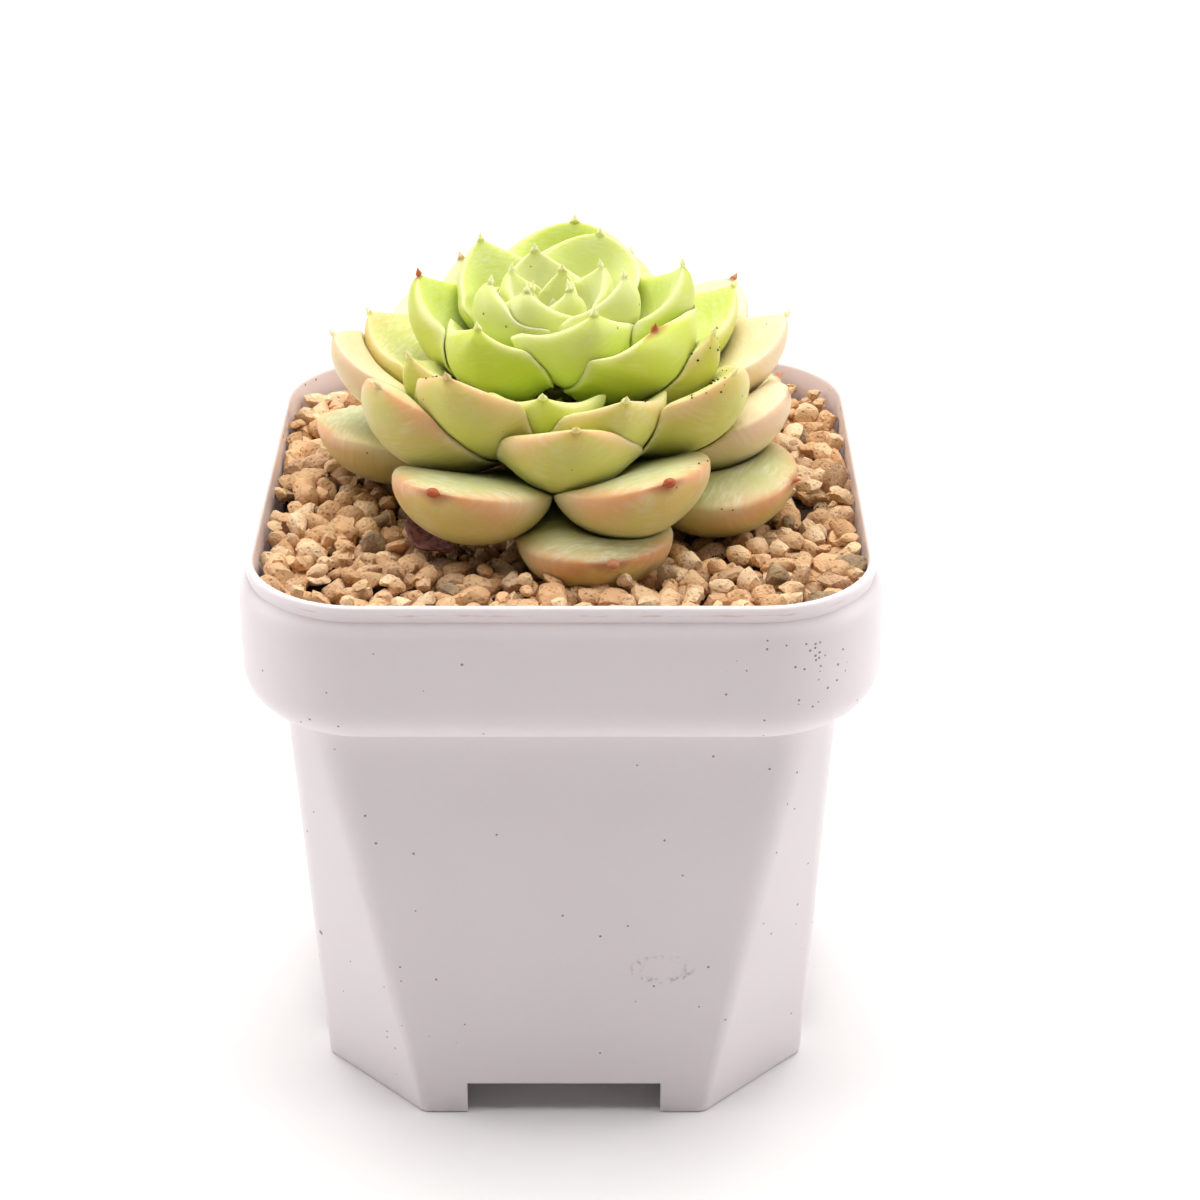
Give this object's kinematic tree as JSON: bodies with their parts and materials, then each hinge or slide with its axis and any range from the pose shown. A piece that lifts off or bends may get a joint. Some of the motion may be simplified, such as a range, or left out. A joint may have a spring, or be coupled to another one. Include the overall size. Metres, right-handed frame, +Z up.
{
  "type": "potted succulent",
  "caption": "Echeveria rosette of thick, waxy leaves growing through a bed of baked clay granules in a small white square plastic nursery pot with cut-back corners and a rounded rim",
  "frame": {"origin": "on the surface the pot stands on, under the middle of the pot's foot", "axes": "+Z up, -Y out of the side of the pot that is its front, +X to the right as seen from the front"},
  "size_m": [0.0716, 0.0716, 0.0982],
  "materials": {
    "pot": "satin white, slightly lilac",
    "granules": "rough, matte, porous baked clay",
    "soil": "rough, dark, crumbly",
    "stem": "matte",
    "leaf_outer": "waxy bloom over green, flushed peach towards the tips",
    "leaf_middle": "waxy bloom over green",
    "leaf_inner": "waxy bloom over bright yellow-green",
    "dried_leaf": "matte, shrivelled"
  },
  "bodies": {
    "root": {"pot": "pot", "potting_soil": "soil", "top_dressing": "granules", "stem": "stem", "dried_leaf": "dried_leaf", "leaf_01": "leaf_outer", "leaf_02": "leaf_outer", "leaf_04": "leaf_outer", "leaf_05": "leaf_outer", "leaf_06": "leaf_outer", "leaf_07": "leaf_outer", "leaf_08": "leaf_outer", "leaf_09": "leaf_outer", "leaf_10": "leaf_outer", "leaf_11": "leaf_outer", "leaf_12": "leaf_outer", "leaf_13": "leaf_middle", "leaf_14": "leaf_middle", "leaf_15": "leaf_middle", "leaf_16": "leaf_middle", "leaf_17": "leaf_middle", "leaf_18": "leaf_middle", "leaf_19": "leaf_middle", "leaf_20": "leaf_middle", "leaf_21": "leaf_middle", "leaf_22": "leaf_middle", "leaf_23": "leaf_middle", "leaf_24": "leaf_middle", "leaf_25": "leaf_middle", "leaf_26": "leaf_middle", "leaf_27": "leaf_inner", "leaf_28": "leaf_inner", "leaf_29": "leaf_inner", "leaf_30": "leaf_inner", "leaf_31": "leaf_inner", "leaf_32": "leaf_inner", "leaf_33": "leaf_inner", "leaf_34": "leaf_inner", "leaf_35": "leaf_inner", "leaf_36": "leaf_inner", "leaf_37": "leaf_inner", "leaf_38": "leaf_inner", "leaf_39": "leaf_inner", "leaf_40": "leaf_inner", "leaf_41": "leaf_inner", "leaf_42": "leaf_inner", "leaf_43": "leaf_inner", "leaf_44": "leaf_inner", "leaf_45": "leaf_inner", "leaf_46": "leaf_inner"}
  },
  "joints": []
}
